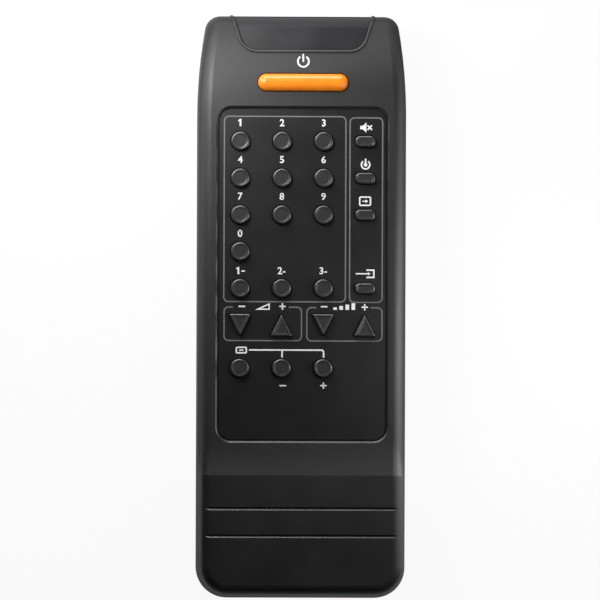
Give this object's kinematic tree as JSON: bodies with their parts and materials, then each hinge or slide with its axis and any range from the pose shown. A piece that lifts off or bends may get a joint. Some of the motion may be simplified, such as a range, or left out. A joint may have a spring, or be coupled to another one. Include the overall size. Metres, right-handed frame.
{
  "type": "tv remote control",
  "caption": "Hand-held television remote control: slim case, recessed keypad of small keys under a long power key, infra-red window at the nose, sliding battery cover.",
  "frame": {"origin": "middle of the flat back, at the bottom centre of the part without its keys pressed", "axes": "+Y along the case to the infra-red window, +Z out of the keys, +X to the right of the keys"},
  "size_m": [0.0604, 0.1683, 0.0245],
  "materials": {
    "case": "fine sparked texture, charcoal",
    "window": "polished, infra-red clear, near black",
    "plate": "satin black with printed lines and legends",
    "key": "satin, charcoal",
    "power_key": "satin, orange",
    "sheet": "matte, grey",
    "board": "satin solder mask, green",
    "carbon": "printed carbon",
    "led": "tinted clear resin",
    "tinned_wire": "tinned",
    "chip": "moulded black epoxy",
    "resonator": "dipped ceramic, amber",
    "capacitor": "shrink sleeve, dark blue",
    "resistor": "lacquered, beige",
    "contact": "nickel plated",
    "cell": "satin printed jacket",
    "screw": "zinc plated"
  },
  "bodies": {
    "body": {"top_shell": "case", "bottom_shell": "case", "ir_window": "window", "face_plate": "plate", "keypad_sheet": "sheet", "circuit_board": "board", "contact_pads": "carbon", "ir_led_left": "led", "ir_led_right": "led", "led_leads": "tinned_wire", "encoder_chip": "chip", "chip_pins": "tinned_wire", "resonator": "resonator", "driver_transistor": "chip", "reservoir_capacitor": "capacitor", "resistors": "resistor", "component_leads": "tinned_wire", "positive_contact": "contact", "negative_contact": "contact", "negative_spring": "contact", "bridge_contact": "contact", "bridge_spring": "contact", "battery_cell_left": "cell", "battery_cell_right": "cell", "case_screws": "screw", "board_screws": "screw"},
    "battery_cover": {"battery_cover": "case"},
    "key_1": {"key_1": "key"},
    "key_2": {"key_2": "key"},
    "key_3": {"key_3": "key"},
    "key_4": {"key_4": "key"},
    "key_5": {"key_5": "key"},
    "key_6": {"key_6": "key"},
    "key_7": {"key_7": "key"},
    "key_8": {"key_8": "key"},
    "key_9": {"key_9": "key"},
    "key_0": {"key_0": "key"},
    "key_one_dash": {"key_one_dash": "key"},
    "key_two_dash": {"key_two_dash": "key"},
    "key_three_dash": {"key_three_dash": "key"},
    "key_mute": {"key_mute": "key"},
    "key_timer": {"key_timer": "key"},
    "key_recall": {"key_recall": "key"},
    "key_input": {"key_input": "key"},
    "key_volume_down": {"key_volume_down": "key"},
    "key_volume_up": {"key_volume_up": "key"},
    "key_channel_down": {"key_channel_down": "key"},
    "key_channel_up": {"key_channel_up": "key"},
    "key_display": {"key_display": "key"},
    "key_display_down": {"key_display_down": "key"},
    "key_display_up": {"key_display_up": "key"},
    "key_power": {"key_power": "power_key"}
  },
  "joints": [
    {"name": "key_1_press", "type": "slide", "parent": "body", "child": "key_1", "axis": [0, 0, -1], "range_m": [0, 0.001], "stiffness_N_per_m": 500, "springref_m": -0.0005},
    {"name": "key_2_press", "type": "slide", "parent": "body", "child": "key_2", "axis": [0, 0, -1], "range_m": [0, 0.001], "stiffness_N_per_m": 500, "springref_m": -0.0005},
    {"name": "key_3_press", "type": "slide", "parent": "body", "child": "key_3", "axis": [0, 0, -1], "range_m": [0, 0.001], "stiffness_N_per_m": 500, "springref_m": -0.0005},
    {"name": "key_4_press", "type": "slide", "parent": "body", "child": "key_4", "axis": [0, 0, -1], "range_m": [0, 0.001], "stiffness_N_per_m": 500, "springref_m": -0.0005},
    {"name": "key_5_press", "type": "slide", "parent": "body", "child": "key_5", "axis": [0, 0, -1], "range_m": [0, 0.001], "stiffness_N_per_m": 500, "springref_m": -0.0005},
    {"name": "key_6_press", "type": "slide", "parent": "body", "child": "key_6", "axis": [0, 0, -1], "range_m": [0, 0.001], "stiffness_N_per_m": 500, "springref_m": -0.0005},
    {"name": "key_7_press", "type": "slide", "parent": "body", "child": "key_7", "axis": [0, 0, -1], "range_m": [0, 0.001], "stiffness_N_per_m": 500, "springref_m": -0.0005},
    {"name": "key_8_press", "type": "slide", "parent": "body", "child": "key_8", "axis": [0, 0, -1], "range_m": [0, 0.001], "stiffness_N_per_m": 500, "springref_m": -0.0005},
    {"name": "key_9_press", "type": "slide", "parent": "body", "child": "key_9", "axis": [0, 0, -1], "range_m": [0, 0.001], "stiffness_N_per_m": 500, "springref_m": -0.0005},
    {"name": "key_0_press", "type": "slide", "parent": "body", "child": "key_0", "axis": [0, 0, -1], "range_m": [0, 0.001], "stiffness_N_per_m": 500, "springref_m": -0.0005},
    {"name": "key_one_dash_press", "type": "slide", "parent": "body", "child": "key_one_dash", "axis": [0, 0, -1], "range_m": [0, 0.001], "stiffness_N_per_m": 500, "springref_m": -0.0005},
    {"name": "key_two_dash_press", "type": "slide", "parent": "body", "child": "key_two_dash", "axis": [0, 0, -1], "range_m": [0, 0.001], "stiffness_N_per_m": 500, "springref_m": -0.0005},
    {"name": "key_three_dash_press", "type": "slide", "parent": "body", "child": "key_three_dash", "axis": [0, 0, -1], "range_m": [0, 0.001], "stiffness_N_per_m": 500, "springref_m": -0.0005},
    {"name": "key_mute_press", "type": "slide", "parent": "body", "child": "key_mute", "axis": [0, 0, -1], "range_m": [0, 0.001], "stiffness_N_per_m": 500, "springref_m": -0.0005},
    {"name": "key_timer_press", "type": "slide", "parent": "body", "child": "key_timer", "axis": [0, 0, -1], "range_m": [0, 0.001], "stiffness_N_per_m": 500, "springref_m": -0.0005},
    {"name": "key_recall_press", "type": "slide", "parent": "body", "child": "key_recall", "axis": [0, 0, -1], "range_m": [0, 0.001], "stiffness_N_per_m": 500, "springref_m": -0.0005},
    {"name": "key_input_press", "type": "slide", "parent": "body", "child": "key_input", "axis": [0, 0, -1], "range_m": [0, 0.001], "stiffness_N_per_m": 500, "springref_m": -0.0005},
    {"name": "key_volume_down_press", "type": "slide", "parent": "body", "child": "key_volume_down", "axis": [0, 0, -1], "range_m": [0, 0.001], "stiffness_N_per_m": 500, "springref_m": -0.0005},
    {"name": "key_volume_up_press", "type": "slide", "parent": "body", "child": "key_volume_up", "axis": [0, 0, -1], "range_m": [0, 0.001], "stiffness_N_per_m": 500, "springref_m": -0.0005},
    {"name": "key_channel_down_press", "type": "slide", "parent": "body", "child": "key_channel_down", "axis": [0, 0, -1], "range_m": [0, 0.001], "stiffness_N_per_m": 500, "springref_m": -0.0005},
    {"name": "key_channel_up_press", "type": "slide", "parent": "body", "child": "key_channel_up", "axis": [0, 0, -1], "range_m": [0, 0.001], "stiffness_N_per_m": 500, "springref_m": -0.0005},
    {"name": "key_display_press", "type": "slide", "parent": "body", "child": "key_display", "axis": [0, 0, -1], "range_m": [0, 0.001], "stiffness_N_per_m": 500, "springref_m": -0.0005},
    {"name": "key_display_down_press", "type": "slide", "parent": "body", "child": "key_display_down", "axis": [0, 0, -1], "range_m": [0, 0.001], "stiffness_N_per_m": 500, "springref_m": -0.0005},
    {"name": "key_display_up_press", "type": "slide", "parent": "body", "child": "key_display_up", "axis": [0, 0, -1], "range_m": [0, 0.001], "stiffness_N_per_m": 500, "springref_m": -0.0005},
    {"name": "key_power_press", "type": "slide", "parent": "body", "child": "key_power", "axis": [0, 0, -1], "range_m": [0, 0.001], "stiffness_N_per_m": 500, "springref_m": -0.0005},
    {"name": "battery_cover_slide", "type": "slide", "parent": "body", "child": "battery_cover", "axis": [0, -1, 0], "range_m": [0, 0.062]}
  ]
}
